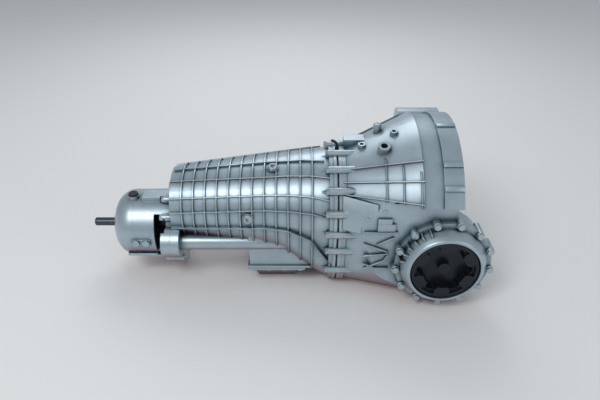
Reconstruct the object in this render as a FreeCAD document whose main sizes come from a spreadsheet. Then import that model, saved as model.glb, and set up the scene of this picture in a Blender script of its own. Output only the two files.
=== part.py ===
"""Longitudinal all-wheel-drive gearbox: cast housings with the shafts, gears and drive flanges inside.

Frame: origin at the centre of the engine flange face, on the crankshaft axis.
+X points to the engine, +Z up, and the left-hand drive flange looks towards -Y.
Every length is in millimetres and every angle in degrees.
"""
import FreeCAD, Part
import math
import os
import Sketcher

from FreeCAD import Placement, Rotation, Vector

os.makedirs("parts", exist_ok=True)
doc = FreeCAD.newDocument("Gearbox")

# ---------------------------------------------------------------- driving sizes
sheet = doc.addObject("Spreadsheet::Sheet", "Sizes")

SIZES = (
    # stations along the crankshaft axis, measured back from the engine flange face
    ("bell_length", 235),
    ("plate_thickness", 18),
    ("breather_bend", 13),
    ("breather_radius", 3),
    ("case_length", 359),
    ("rear_housing_length", 142),
    ("stub_length", 58),
    # bell housing
    ("bell_skirt_radius", 203),
    ("bell_skirt_length", 40),
    ("bell_shoulder_length", 80),
    ("bell_wall", 7),
    ("mouth_radius", 178),
    ("mouth_lip", 14),
    ("base_depth", 172),
    ("ledge_height", 90),
    ("right_seat", 214),
    ("starter_side", 128),
    ("starter_height", 137),
    ("starter_radius", 30),
    ("right_boss_radius", 36),
    ("inner_wall_offset", 34),
    ("drum_clearance", 8),
    ("engine_bolt_circle", 186),
    ("engine_bolt_hole", 10.5),
    ("engine_boss_radius", 11),
    ("engine_spot_radius", 9),
    ("dowel_diameter", 14),
    ("dowel_shoulder", 0.5),
    # main case
    ("case_rear_radius", 79),
    ("case_front_radius", 126),
    ("case_keel", 168),
    ("keel_corner", 62),
    ("keel_tuck", 16),
    ("flare_length", 147),
    ("case_wall", 6),
    ("case_flange_width", 6),
    ("case_flange_thickness", 9),
    ("rib_pitch", 26),
    ("rib_thickness", 3),
    ("rib_height", 4),
    ("rail_height", 8),
    # sump and oil pan
    ("sump_length", 187),
    ("sump_half_width", 95),
    ("pan_seat_depth", 122),
    ("pan_flange_thickness", 5),
    ("plug_pad_radius", 12),
    ("pan_floor_half_width", 60),
    ("pan_wall", 4),
    ("pan_gap", 60),
    ("pan_bolts_a_side", 4),
    ("gasket_thickness", 1),
    # seam bolts
    ("seam_bolt_count", 17),
    ("seam_bolt_start", 8),
    ("seam_boss_radius", 9),
    ("seam_boss_length", 42),
    ("bolt_diameter", 8),
    ("bolt_head_width", 13),
    ("bolt_head_height", 8),
    ("bolt_clearance", 0.2),
    ("case_bolt_grip", 58),
    # rear housing
    ("tail_radius", 81),
    ("tail_nose_radius", 30),
    ("cap_station", 48),
    ("tail_wall", 7),
    ("tail_bend", 52),
    ("tail_flange_thickness", 8),
    ("window_width", 28),
    ("window_offset", 14),
    # shafts
    ("input_radius", 14),
    ("output_radius", 16),
    ("side_radius", 11),
    ("tunnel_wall", 5),
    ("side_lobe_radius", 36),
    ("stub_radius", 9.7),
    ("stub_splines", 18),
    ("running_clearance", 0.05),
    ("bearing_width", 14),
    ("bearing_section", 11),
    # gears
    ("gear_module", 3),
    ("gear_width", 18),
    ("transfer_width", 13),
    ("gear_pair_teeth", 40),
    ("first_pinion_teeth", 14),
    ("second_pinion_teeth", 20),
    ("third_pinion_teeth", 23),
    ("side_gear_teeth", 18),
    ("transfer_wheel_teeth", 36),
    ("pressure_angle", 20),
    ("backlash", 0.24),
    # final drive
    ("axle_station", 20),
    ("bevel_module", 5),
    ("bevel_pinion_teeth", 12),
    ("crown_teeth", 32),
    ("bevel_face", 26),
    ("carrier_radius", 44),
    ("crown_bore", 34),
    ("crown_backing", 17),
    ("right_flange_radius", 50),
    ("flange_bolt_hole", 10),
    ("axle_radius", 14),
    # differential cover
    ("cover_seat", 150),
    ("cover_radius", 107),
    ("cover_flange_thickness", 11),
    ("cover_reach", 40),
    ("cover_opening_radius", 74),
    ("cover_bolt_count", 13),
    ("cover_boss_radius", 8),
    ("cover_rib_count", 6),
    ("cover_rib_start", -78),
    ("cover_rib_pitch", 11),
    ("drive_cup_radius", 71),
    ("drive_cup_depth", 27),
    # clutch
    ("clutch_radius", 74),
    ("clutch_length", 64),
    ("clutch_gap", 116),
)
for row, (name, value) in enumerate(SIZES, start=1):
    sheet.set("A%d" % row, name)
    sheet.set("B%d" % row, str(value))
    sheet.setAlias("B%d" % row, name)
doc.recompute()


def size(name):
    """Value of one cell of the sheet."""
    return float(sheet.get(name))


# ---------------------------------------------------------------- stations and axes
BELL_REAR = -size("bell_length")
CASE_FRONT = BELL_REAR - size("plate_thickness")
CASE_REAR = CASE_FRONT - size("case_length")
TAIL_REAR = CASE_REAR - size("rear_housing_length")
AXLE_X = -size("axle_station")
OUTPUT_Z = -size("gear_module") * size("gear_pair_teeth") / 2
SIDE_Y = -size("gear_module") * (size("transfer_wheel_teeth") + size("side_gear_teeth")) / 2
FLOOR_Z = -size("base_depth")

SUB_PARTS = []


def sub_part(obj, label):
    """Name a finished object as one piece of the gearbox."""
    obj.Label = label
    SUB_PARTS.append(obj)
    return obj


def plain_feature(label, shape):
    """Piece whose form comes from Part's own functions."""
    feature = doc.addObject("Part::Feature", label + "_form")
    feature.Shape = shape
    return sub_part(feature, label)


def turned(label, profile, along="x", x="0", y="0", z="0"):
    """Turned piece: a sketch of (station, radius) expressions revolved about X or Y."""
    body = doc.addObject("PartDesign::Body", label + "_body")
    sketch = body.newObject("Sketcher::SketchObject", label + "_profile")
    role = "XZ_Plane" if along == "x" else "XY_Plane"
    plane = next(item for item in body.Origin.OriginFeatures if item.Role == role)
    sketch.AttachmentSupport = [(plane, "")]
    sketch.MapMode = "FlatFace"
    corners = len(profile)
    angles = [2 * math.pi * step / corners for step in range(corners)]
    ring = [Vector(100 * math.cos(angle), 100 * math.sin(angle), 0) for angle in angles]
    for step in range(corners):
        sketch.addGeometry(Part.LineSegment(ring[step], ring[(step + 1) % corners]), False)
    for step in range(corners):
        sketch.addConstraint(Sketcher.Constraint("Coincident", step, 2, (step + 1) % corners, 1))
    for step, (station, radius) in enumerate(profile):
        pair = (station, radius) if along == "x" else (radius, station)
        for axis, value, expression in (("X", ring[step].x, pair[0]), ("Y", ring[step].y, pair[1])):
            rule = Sketcher.Constraint("Distance" + axis, -1, 1, step, 1, value)
            index = sketch.addConstraint(rule)
            name = "place%s%d" % (axis, step)
            sketch.renameConstraint(index, name)
            sketch.setExpression("Constraints." + name, str(expression))
    turn = body.newObject("PartDesign::Revolution", label + "_turn")
    turn.Profile = sketch
    turn.ReferenceAxis = (sketch, ["H_Axis" if along == "x" else "V_Axis"])
    turn.Angle = 360
    for axis, expression in (("x", x), ("y", y), ("z", z)):
        body.setExpression(".Placement.Base." + axis, expression)
    return sub_part(body, label)


def ring_profile(start, end, inner, outer):
    """Profile of a plain ring."""
    return [(start, inner), (end, inner), (end, outer), (start, outer)]


def tube(start, direction, length, outer, inner=0):
    """Plain round bar or tube from a start point along a direction."""
    bar = Part.makeCylinder(outer, length, start, direction)
    if inner > 0:
        bar = bar.cut(Part.makeCylinder(inner, length, start, direction))
    return bar


def slab(low, high):
    """Box between two opposite corners."""
    return Part.makeBox(high.x - low.x, high.y - low.y, high.z - low.z, low)


X_AXIS = Vector(1, 0, 0)
Y_AXIS = Vector(0, 1, 0)
Z_AXIS = Vector(0, 0, 1)


def around(station, radius, turn):
    """Point at a radius about the crankshaft axis, turned in degrees from +Z towards -Y."""
    angle = math.radians(turn)
    return Vector(station, -radius * math.sin(angle), radius * math.cos(angle))


# ---------------------------------------------------------------- sections of the castings
def outline(station, half_width, keel, corner, floor_half_width):
    """Closed section: a half circle above the axis, straight sides and a rounded keel below it."""
    flat = 0.5
    hip = min(-(keel - corner), -flat)
    sole = max(floor_half_width - corner, flat)
    diagonal = math.sqrt(0.5)
    shoulder = half_width * diagonal
    left = Vector(station, -half_width, 0)
    top = Vector(station, 0, half_width)
    right = Vector(station, half_width, 0)
    wires = [
        Part.Arc(left, Vector(station, -shoulder, shoulder), top).toShape(),
        Part.Arc(top, Vector(station, shoulder, shoulder), right).toShape(),
    ]
    low = []
    for side in (1, -1):
        low.append((
            Vector(station, side * floor_half_width, hip),
            Vector(station, side * (sole + corner * diagonal), hip - corner * diagonal),
            Vector(station, side * sole, -keel),
        ))
    wires.append(Part.LineSegment(right, low[0][0]).toShape())
    wires.append(Part.Arc(*low[0]).toShape())
    wires.append(Part.LineSegment(low[0][2], low[1][2]).toShape())
    wires.append(Part.Arc(low[1][2], low[1][1], low[1][0]).toShape())
    wires.append(Part.LineSegment(low[1][0], left).toShape())
    return Part.Wire(wires)


def blend(start, end, share):
    return start + (end - start) * share


FLARE_START = CASE_FRONT - size("flare_length")


def case_half_width(station):
    share = (station - CASE_REAR) / size("case_length")
    return blend(size("case_rear_radius"), size("case_front_radius"), share)


def case_flare(station):
    """How far the case has swelled towards its front joint, from 0 to 1."""
    share = min(max((station - FLARE_START) / size("flare_length"), 0), 1)
    return share * share * (3 - 2 * share)


def case_outline(station, offset=0):
    flare = case_flare(station)
    half_width = case_half_width(station)
    keel = half_width + blend(0, size("case_keel") - size("case_front_radius"), flare)
    corner = blend(half_width - 1, size("keel_corner"), flare)
    floor_half_width = blend(half_width, half_width - size("keel_tuck"), flare)
    return outline(station, half_width + offset, keel + offset, corner + offset, floor_half_width + offset)


def bell_outline(station, offset=0):
    """Section of the bell: the joint outline at its rear, opening to the round skirt."""
    cone_length = size("bell_length") - size("bell_shoulder_length")
    share = min((station - BELL_REAR) / cone_length, 1)
    half_width = blend(size("case_front_radius"), size("bell_skirt_radius"), share)
    keel = blend(size("case_keel"), size("bell_skirt_radius"), share)
    corner = blend(size("keel_corner"), size("bell_skirt_radius") - 1, share)
    joint_floor = size("case_front_radius") - size("keel_tuck")
    floor_half_width = blend(joint_floor, size("bell_skirt_radius"), share)
    return outline(station, half_width + offset, keel + offset, corner + offset, floor_half_width + offset)


def plate(wire, thickness):
    """Flat plate of an outline, thickened towards the engine."""
    return Part.Face(wire).extrude(Vector(thickness, 0, 0))


def radius_of(section, turn):
    """Distance from the axis to a section's edge in one direction."""
    station = section.BoundBox.XMin
    ray = Part.LineSegment(Vector(station, 0, 0), around(station, 400, turn)).toShape()
    crossing = section.distToShape(ray)[1][0][0]
    return crossing.sub(Vector(station, 0, 0)).Length


def long_rib(section_at, stations, turn_at, thickness, height):
    """Rib that runs along a casting, sunk a little into its skin."""
    wires = []
    for station in stations:
        turn = turn_at(station)
        outward = around(0, 1, turn)
        across = around(0, 1, turn + 90) * (thickness / 2)
        foot = around(station, radius_of(section_at(station), turn) - thickness, turn)
        tip = foot + outward * (thickness + height)
        corners = [foot - across, foot + across, tip + across * 0.7, tip - across * 0.7]
        wires.append(Part.makePolygon(corners + corners[:1]))
    return Part.makeLoft(wires, True, True)


def hull_loft(section_at, stations, offset):
    return Part.makeLoft([section_at(station, offset) for station in stations], True, False)


# ---------------------------------------------------------------- seam bolts, shared by three castings
SEAM_TURNS = [
    size("seam_bolt_start") + 360 * step / size("seam_bolt_count")
    for step in range(int(size("seam_bolt_count")))
]
JOINT = case_outline(CASE_FRONT)
BOLT_HOLE = size("bolt_diameter") / 2 + size("bolt_clearance")
SPOT_FACE = size("bolt_head_width") / math.sqrt(3) + 1.2


def seam_places(station):
    """Bolt places round the joint, leaving out those that would reach below the flat base."""
    places = []
    for turn in SEAM_TURNS:
        place = around(station, radius_of(JOINT, turn) + size("case_flange_width") - 1, turn)
        if place.z - SPOT_FACE > FLOOR_Z:
            places.append(place)
    return places


def hex_bolt(seat, direction, grip):
    """Flanged hexagon bolt: the head seats on a face and the shank points along the direction."""
    head = size("bolt_head_height")
    width = size("bolt_head_width") / math.sqrt(3)
    corners = [around(0, width, turn) for turn in range(0, 361, 60)]
    prism = Part.Face(Part.makePolygon(corners)).extrude(Vector(-head, 0, 0))
    collar = Part.makeCylinder(width + 0.8, head / 4, Vector(0, 0, 0), Vector(-1, 0, 0))
    shank = Part.makeCylinder(size("bolt_diameter") / 2, grip, Vector(0, 0, 0), X_AXIS)
    bolt = prism.fuse([collar, shank]).removeSplitter()
    bolt.Placement = Placement(seat, Rotation(X_AXIS, direction))
    return bolt


# ---------------------------------------------------------------- main case
SIDE_BORE = size("side_radius") + 2
TUNNEL_RADIUS = SIDE_BORE + size("tunnel_wall")
FLARE_STATIONS = [FLARE_START + size("flare_length") * share for share in (0, 0.33, 0.67, 1)]
CASE_STATIONS = [CASE_REAR] + FLARE_STATIONS
END_PLATE = size("bearing_width") + 5
FLANGE = size("case_flange_thickness")
SUMP_REAR = CASE_FRONT - size("sump_length")
PAN_FRONT = CASE_FRONT - size("pan_gap")
PAN_SEAT_Z = -size("pan_seat_depth")
BEARING_OUTER = size("output_radius") + size("bearing_section")
INPUT_BEARING_OUTER = size("input_radius") + size("bearing_section")


def rail_turn(rear, middle, front):
    """Turn of a rail along the case: straight to the flare, then swept down towards the joint."""
    def turn_at(station):
        if station <= FLARE_START:
            return blend(rear, middle, (station - CASE_REAR) / (FLARE_START - CASE_REAR))
        return blend(middle, front, ((station - FLARE_START) / size("flare_length")) ** 3)
    return turn_at


RAILS = ((29, 32, 38), (57, 53, 60), (79, 70, 77), (106, 91, 132))
RING_STATIONS = [
    CASE_REAR + step * size("rib_pitch") for step in range(1, int(size("case_length") / size("rib_pitch")))
]


def case_rings():
    """Hoop ribs at an even pitch, following the flare."""
    rings = []
    for station in RING_STATIONS:
        if station + size("rib_thickness") < FLARE_START:
            radius = case_half_width(station) + size("rib_height")
            ring = tube(Vector(station, 0, 0), X_AXIS, size("rib_thickness"), radius)
            rings.append(ring.rotated(Vector(0, 0, 0), X_AXIS, 45))
        else:
            rings.append(plate(case_outline(station, size("rib_height")), size("rib_thickness")))
    return rings


def case_rails():
    rails = []
    for rear, middle, front in RAILS:
        height = size("rail_height") if front == RAILS[-1][2] else size("rib_height") + 1
        for side in (1, -1):
            turn_at = rail_turn(side * rear, side * middle, side * front)
            rails.append(long_rib(case_outline, CASE_STATIONS, turn_at, size("rib_thickness"), height))
    return rails


def case_core(offset, rear, front):
    """Cone and flare of the case between two stations."""
    cone = Part.makeCone(
        case_half_width(rear) + offset, case_half_width(FLARE_START + 1) + offset,
        FLARE_START + 1 - rear, Vector(rear, 0, 0), X_AXIS,
    ).rotated(Vector(0, 0, 0), X_AXIS, 45)
    flare = hull_loft(case_outline, FLARE_STATIONS, offset)
    return cone.fuse(flare)


def pads_on_case(station, turn, radius, length):
    """Round pad whose axis points outwards from the crankshaft axis."""
    foot = around(station, case_half_width(station) - size("case_wall"), turn)
    return tube(foot, around(0, 1, turn), length + size("case_wall"), radius)


PLUG_SPOTS = ((-437, 80.5), (-384, 19.5))
TAIL_BOLT_TURNS = (20, 50, 131, 165, -165, -122, -79, -36)
TAIL_BOLT_RADIUS = size("tail_radius") + 4
TAIL_BOSS = 18


def about_output(station, radius, turn):
    return around(station, radius, turn) + Vector(0, 0, OUTPUT_Z)


PAN_BOLT_PITCH = (PAN_FRONT - SUMP_REAR - 20) / (size("pan_bolts_a_side") - 1)
PAN_BOLT_PLACES = [
    (SUMP_REAR + 8 + PAN_BOLT_PITCH * step, side * (size("sump_half_width") - 4))
    for step in range(int(size("pan_bolts_a_side"))) for side in (1, -1)
]
PAN_TOP = PAN_SEAT_Z - size("gasket_thickness")
PAN_BOLT_HOLE = 3.2


def build_main_case():
    body = case_core(0, CASE_REAR, CASE_FRONT)
    side_low, side_high = -size("sump_half_width"), size("sump_half_width")
    extras = [
        plate(case_outline(CASE_FRONT - FLANGE, size("case_flange_width")), FLANGE),
        tube(Vector(CASE_REAR, 0, OUTPUT_Z), X_AXIS, END_PLATE, size("tail_radius")),
        tube(Vector(CASE_REAR, 0, OUTPUT_Z), X_AXIS, END_PLATE * 3, BEARING_OUTER + 8),
        tube(Vector(CASE_REAR, SIDE_Y, OUTPUT_Z), X_AXIS, END_PLATE, size("side_lobe_radius")),
        tube(Vector(CASE_REAR, SIDE_Y, OUTPUT_Z), X_AXIS, size("case_length"), TUNNEL_RADIUS),
        slab(Vector(SUMP_REAR, side_low, PAN_SEAT_Z), Vector(CASE_FRONT - 30, side_high, OUTPUT_Z + 25)),
        slab(
            Vector(SUMP_REAR - 4, side_low - 4, PAN_SEAT_Z),
            Vector(PAN_FRONT + 12, side_high + 4, PAN_SEAT_Z + 6),
        ),
        slab(Vector(CASE_REAR, SIDE_Y, OUTPUT_Z - 6), Vector(SUMP_REAR, 0, OUTPUT_Z + 6)),
    ]
    for place in seam_places(CASE_FRONT - FLANGE):
        extras.append(tube(place, X_AXIS, FLANGE, size("seam_boss_radius")))
    for station, turn in PLUG_SPOTS:
        extras.append(pads_on_case(station, turn, size("plug_pad_radius"), 6))
    for turn in TAIL_BOLT_TURNS:
        extras.append(tube(about_output(CASE_REAR, TAIL_BOLT_RADIUS, turn), X_AXIS, END_PLATE - 2, 9))
    outer = body.fuse(case_rings() + case_rails() + extras)
    # hollow: gear chamber, sump well and the bores
    wall = size("case_wall")
    chamber = case_core(-wall, CASE_REAR + END_PLATE, CASE_FRONT)
    hollows = [
        slab(
            Vector(SUMP_REAR + wall, side_low + wall, FLOOR_Z),
            Vector(PAN_FRONT - 12, side_high - wall, OUTPUT_Z),
        ),
        slab(Vector(SUMP_REAR - 10, -200, FLOOR_Z - 1), Vector(PAN_FRONT, 200, PAN_SEAT_Z)),
        tube(Vector(CASE_REAR + 4, 0, 0), X_AXIS, END_PLATE, INPUT_BEARING_OUTER),
        tube(Vector(CASE_REAR, 0, OUTPUT_Z), X_AXIS, END_PLATE * 3, BEARING_OUTER),
        tube(Vector(CASE_REAR, SIDE_Y, OUTPUT_Z), X_AXIS, size("case_length"), SIDE_BORE),
        slab(Vector(CASE_REAR - 1, -400, FLOOR_Z - 50), Vector(CASE_FRONT + 1, 400, FLOOR_Z)),
    ]
    for place in seam_places(CASE_FRONT - FLANGE):
        hollows.append(tube(place, X_AXIS, FLANGE, BOLT_HOLE))
    for place in seam_places(CASE_FRONT - FLANGE - 16):
        hollows.append(tube(place, X_AXIS, 16, SPOT_FACE))
    for turn in TAIL_BOLT_TURNS:
        hollows.append(tube(about_output(CASE_REAR, TAIL_BOLT_RADIUS, turn), X_AXIS, 14, BOLT_HOLE))
    for station, turn in PLUG_SPOTS:
        outward = around(0, 1, turn)
        seat = around(station, case_half_width(station) - 12, turn)
        hollows.append(tube(seat, outward, 20, (size("plug_pad_radius") - 2.5) * 0.68 + 0.2))
    for x, y in PAN_BOLT_PLACES:
        hollows.append(tube(Vector(x, y, PAN_SEAT_Z - 1), Z_AXIS, 6, PAN_BOLT_HOLE))
    return outer.cut([chamber] + hollows)


plain_feature("main_case", build_main_case())


# ---------------------------------------------------------------- bell housing
SHOULDER = -size("bell_shoulder_length")
SKIRT = -size("bell_skirt_length")
COVER_Y = -size("cover_seat")
LEDGE_Z = size("ledge_height")
BELL_STATIONS = [BELL_REAR, SHOULDER]
BELL_RIBS = ((29, 36), (42, 48), (53, 61))
CROWN_RADIUS = size("bevel_module") * size("crown_teeth") / 2
PINION_PITCH = size("bevel_module") * size("bevel_pinion_teeth") / 2
CROWN_Y = SIDE_Y - PINION_PITCH
CROWN_FRONT_Y = CROWN_Y + PINION_PITCH / 2
DRUM_RADIUS = CROWN_RADIUS + size("drum_clearance") + size("bell_wall")
COVER_BOLT_RADIUS = size("cover_radius") - 5
CARRIER_CHAMBER = size("carrier_radius") + size("drum_clearance") / 2
AXLE = Vector(AXLE_X, 0, OUTPUT_Z)
CARRIER_LEFT = COVER_Y + 18
SIDE_X_FRONT = AXLE_X - CROWN_RADIUS
PINION_CHAMBER = PINION_PITCH + size("bevel_module") * 1.35 + 2
INNER_WALL_Y = -size("inner_wall_offset")
CARRIER_BEARING_OUTER = size("axle_radius") + size("bearing_section")
RIGHT_SEAT = size("right_seat")
DOWEL_TURNS = (-66, -140)
DOWEL_DEPTH = 12
DOWEL_SEAT = size("dowel_diameter") / 2 + size("dowel_shoulder")
CARRIER_RIGHT = INNER_WALL_Y - 24


def about_axle(across, radius, turn):
    """Point at a radius about the axle line, turned from +Z towards the engine."""
    angle = math.radians(turn)
    return Vector(AXLE_X + radius * math.sin(angle), across, OUTPUT_Z + radius * math.cos(angle))


def axle_tube(start, end, outer, inner=0):
    """Round bar or tube along the axle line between two Y places."""
    return tube(Vector(AXLE_X, start, OUTPUT_Z), Y_AXIS, end - start, outer, inner)


COVER_BOLT_SPOTS = [
    (360 * step / size("cover_bolt_count") + 14) % 360 for step in range(int(size("cover_bolt_count")))
]
ENGINE_BOLT_TURNS = (30, -30, 150, -150, 8, -8, 56, -56, -84, -124)
FLANK_Y = COVER_Y + 2


def bell_hollow():
    """Clutch chamber, kept off the floor and off the flat left-hand wall."""
    wall = size("bell_wall")
    cone = hull_loft(bell_outline, BELL_STATIONS, -wall)
    waist_radius = size("bell_skirt_radius") - wall - 4
    waist = tube(Vector(SHOULDER, 0, 0), X_AXIS, -SHOULDER - size("mouth_lip"), waist_radius)
    mouth = tube(Vector(-size("mouth_lip") - 1, 0, 0), X_AXIS, size("mouth_lip") + 2, size("mouth_radius"))
    hollow = cone.fuse([waist, mouth])
    return hollow.cut([
        slab(Vector(BELL_REAR - 1, -400, FLOOR_Z - 50), Vector(5, 400, FLOOR_Z + wall)),
        slab(Vector(BELL_REAR - 1, -400, -400), Vector(5, FLANK_Y + wall, LEDGE_Z - wall)),
    ])


def bell_rings():
    """Short hoop ribs on the upper flanks of the cone."""
    rings = []
    for station in (-150, -118, -86):
        radius = radius_of(bell_outline(station), 30) + size("rib_height")
        ring = Part.makeCylinder(radius, size("rib_thickness"), Vector(station, 0, 0), X_AXIS)
        rings.append(ring.common(slab(Vector(station - 1, -200, 60), Vector(station + 5, 200, 150))))
    return rings


# drilled bosses of the upper flank, as (station, turn, radius, reach)
DRILLED_BOSSES = ((-150, 20, 13, 14), (-192, 7, 8, 8), (-126, 7, 8, 8))


def flank_boss(station, turn, radius, reach):
    """Round boss standing square on the bell's skin."""
    base = radius_of(bell_outline(station), turn) - size("bell_wall")
    return tube(around(station, base, turn), around(0, 1, turn), reach + size("bell_wall"), radius)


def flank_drilling(station, turn, radius, reach):
    base = radius_of(bell_outline(station), turn) + 1
    return tube(around(station, base, turn), around(0, 1, turn), reach, radius * 0.55)


def build_bell_housing():
    wall = size("bell_wall")
    outer = hull_loft(bell_outline, BELL_STATIONS, 0)
    waist = tube(Vector(SHOULDER, 0, 0), X_AXIS, -SHOULDER, size("bell_skirt_radius") - 4)
    skirt = tube(Vector(SKIRT, 0, 0), X_AXIS, -SKIRT, size("bell_skirt_radius"))
    extras = [waist, skirt, plate(bell_outline(BELL_REAR, size("case_flange_width")), FLANGE)]
    for place in seam_places(BELL_REAR):
        extras.append(tube(place, X_AXIS, size("seam_boss_length"), size("seam_boss_radius")))
    for rear, front in BELL_RIBS:
        for side in (1, -1):
            extras.append(long_rib(
                bell_outline, BELL_STATIONS,
                lambda station: side * blend(rear, front, (station - BELL_REAR) / (SHOULDER - BELL_REAR)),
                size("rib_thickness"), size("rib_height") + 2,
            ))
    extras += bell_rings() + [flank_boss(*boss) for boss in DRILLED_BOSSES]
    starter = Vector(-96, size("starter_side"), size("starter_height"))
    extras.append(tube(starter, X_AXIS, 96, size("starter_radius") + wall))
    extras.append(slab(
        Vector(BELL_REAR + 6, 4, 100), Vector(BELL_REAR + 52, 34, size("case_front_radius") + 26),
    ))
    # raised block beside the joint on the left flank
    block_front = BELL_REAR + 70
    block = Part.makeCone(
        radius_of(bell_outline(BELL_REAR), 70) + 8, radius_of(bell_outline(block_front), 70) + 5, 70,
        Vector(BELL_REAR, 0, 0), X_AXIS,
    )
    extras.append(block.common(slab(Vector(BELL_REAR, -400, 10), Vector(block_front, 0, 78))))
    shell = outer.fuse(extras).cut([
        slab(Vector(BELL_REAR + size("seam_boss_length") - 5, -400, -400), Vector(1, FLANK_Y, LEDGE_Z)),
        slab(Vector(BELL_REAR - 1, -400, -400), Vector(1, 400, FLOOR_Z)),
        bell_hollow(),
        tube(starter + Vector(wall, 0, 0), X_AXIS, 120, size("starter_radius")),
    ])
    # final drive chamber, side shaft tunnel and right-hand axle boss
    pinion_chamber = Vector(SIDE_X_FRONT - 20, SIDE_Y, OUTPUT_Z)
    chamber_length = AXLE_X - 25 - pinion_chamber.x
    tunnel_length = pinion_chamber.x - BELL_REAR
    drive = [
        axle_tube(COVER_Y, CROWN_FRONT_Y + wall, DRUM_RADIUS),
        axle_tube(COVER_Y, COVER_Y + 12, size("cover_radius") - 4),
        axle_tube(COVER_Y, INNER_WALL_Y, CARRIER_CHAMBER + wall),
        tube(pinion_chamber, X_AXIS, chamber_length, PINION_CHAMBER + wall),
        tube(Vector(BELL_REAR, SIDE_Y, OUTPUT_Z), X_AXIS, tunnel_length + wall, TUNNEL_RADIUS),
        slab(Vector(BELL_REAR, SIDE_Y - 44, OUTPUT_Z - 4), Vector(pinion_chamber.x + wall, SIDE_Y, OUTPUT_Z + 4)),
        axle_tube(150, RIGHT_SEAT, size("right_boss_radius")).cut(slab(Vector(0, 100, -200), Vector(60, 199, 100))),
    ]
    for turn in COVER_BOLT_SPOTS:
        drive.append(tube(about_axle(COVER_Y, COVER_BOLT_RADIUS, turn), Y_AXIS, 22, size("cover_boss_radius")))
    base = slab(Vector(SKIRT - 1, -400, -400), Vector(1, 400, FLOOR_Z))
    for turn in ENGINE_BOLT_TURNS:
        spot = around(SKIRT, size("engine_bolt_circle"), turn)
        drive.append(tube(spot, X_AXIS, -SKIRT, size("engine_boss_radius")).cut(base))
    shell = shell.fuse(drive)
    holes = [
        axle_tube(COVER_Y - 1, CROWN_FRONT_Y, DRUM_RADIUS - wall),
        axle_tube(COVER_Y - 1, INNER_WALL_Y - wall - 4, CARRIER_CHAMBER),
        axle_tube(COVER_Y - 1, INNER_WALL_Y + 1, CARRIER_BEARING_OUTER),
        tube(pinion_chamber + Vector(wall, 0, 0), X_AXIS, chamber_length - wall, PINION_CHAMBER),
        tube(Vector(BELL_REAR - 1, SIDE_Y, OUTPUT_Z), X_AXIS, tunnel_length + 2 * wall, SIDE_BORE),
        axle_tube(140, RIGHT_SEAT + 1, size("axle_radius") + size("bearing_section")),
    ]
    for place in seam_places(BELL_REAR):
        holes.append(tube(place, X_AXIS, size("seam_boss_length") - 8, BOLT_HOLE))
    for turn in COVER_BOLT_SPOTS:
        holes.append(tube(about_axle(COVER_Y, COVER_BOLT_RADIUS, turn), Y_AXIS, 18, BOLT_HOLE))
    for turn in ENGINE_BOLT_TURNS:
        spot = around(SKIRT, size("engine_bolt_circle"), turn)
        holes.append(tube(spot, X_AXIS, -SKIRT + 1, size("engine_bolt_hole") / 2))
        holes.append(tube(spot, Vector(-1, 0, 0), 18, size("engine_spot_radius")))
    for turn in DOWEL_TURNS:
        spot = around(-DOWEL_DEPTH, size("engine_bolt_circle"), turn)
        holes.append(tube(spot, X_AXIS, DOWEL_DEPTH + 1, DOWEL_SEAT))
    holes += [flank_drilling(*boss) for boss in DRILLED_BOSSES]
    return shell.cut(holes)


plain_feature("bell_housing", build_bell_housing())


# ---------------------------------------------------------------- intermediate plate
RIM_TOP = size("case_front_radius") + size("case_flange_width")
BREATHER_FOOT = Vector((CASE_FRONT + BELL_REAR) / 2, 0, RIM_TOP)


def build_intermediate_plate():
    thickness = size("plate_thickness")
    body = plate(case_outline(CASE_FRONT), thickness)
    rims = []
    for place in seam_places(CASE_FRONT):
        rims.append(tube(place, X_AXIS, thickness, size("seam_boss_radius")))
    for start in (0, thickness - 7):
        rim = plate(case_outline(CASE_FRONT, size("case_flange_width")), 7)
        rims.append(rim.translate(Vector(start, 0, 0)))
    rims.append(tube(BREATHER_FOOT - Vector(0, 0, 12), Z_AXIS, 12, size("breather_radius") + 4))
    holes = [
        tube(Vector(CASE_FRONT, 0, 0), X_AXIS, thickness, INPUT_BEARING_OUTER),
        tube(Vector(CASE_FRONT, 0, OUTPUT_Z), X_AXIS, thickness, BEARING_OUTER),
        tube(Vector(CASE_FRONT, SIDE_Y, OUTPUT_Z), X_AXIS, thickness, SIDE_BORE),
        tube(BREATHER_FOOT - Vector(0, 0, 6), Z_AXIS, 7, size("breather_radius")),
        slab(Vector(CASE_FRONT - 1, -400, FLOOR_Z - 50), Vector(BELL_REAR + 1, 400, FLOOR_Z)),
    ]
    for place in seam_places(CASE_FRONT):
        holes.append(tube(place, X_AXIS, thickness, BOLT_HOLE))
    return body.fuse(rims).cut(holes)


plain_feature("intermediate_plate", build_intermediate_plate())


# ---------------------------------------------------------------- rear housing
CAP_SEAT = Vector(TAIL_REAR + size("cap_station"), -13, OUTPUT_Z + size("tail_radius") + 2)


def tail_profile(offset):
    """Closed profile of the bowl in the X-radius plane, from the nose to the joint."""
    nose = size("tail_nose_radius") - offset
    belly = size("tail_radius") - 3 - offset
    rear = TAIL_REAR + offset
    bend = rear + size("tail_bend")
    arc = Part.Arc(
        Vector(rear, 0, nose),
        Vector(blend(rear, bend, 0.25), 0, blend(nose, belly, 0.72)),
        Vector(bend, 0, belly),
    ).toShape()
    lines = Part.makePolygon([
        Vector(bend, 0, belly), Vector(CASE_REAR, 0, belly + 1), Vector(CASE_REAR, 0, 0),
        Vector(rear, 0, 0), Vector(rear, 0, nose),
    ])
    face = Part.Face(Part.Wire([arc] + lines.Edges))
    solid = face.revolve(Vector(0, 0, 0), X_AXIS, 360)
    return solid.translate(Vector(0, 0, OUTPUT_Z))


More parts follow.
